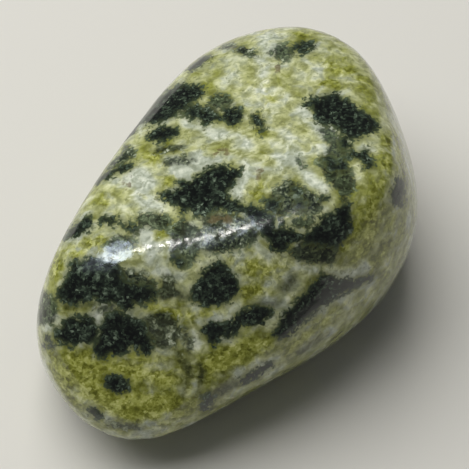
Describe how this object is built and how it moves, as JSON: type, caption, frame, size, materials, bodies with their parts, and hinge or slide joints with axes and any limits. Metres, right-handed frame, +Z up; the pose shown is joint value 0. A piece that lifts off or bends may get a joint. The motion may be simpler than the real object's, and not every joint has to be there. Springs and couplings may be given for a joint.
{
  "type": "tumbled jadeite pebble",
  "caption": "Polished tumbled pebble of mottled green, cream and black jadeite, blunt at one end and narrower at the other, resting on a small flat spot.",
  "frame": {"origin": "under the middle of the stone's bounding box, on the surface that it rests on", "axes": "+X along the stone's length, towards the broad end; +Z up, out of the surface that it rests on"},
  "size_m": [0.0364, 0.025, 0.0175],
  "materials": {
    "jadeite": "tumble polished, mottled olive green, cream and black-green"
  },
  "bodies": {
    "root": {"stone": "jadeite"}
  },
  "joints": []
}
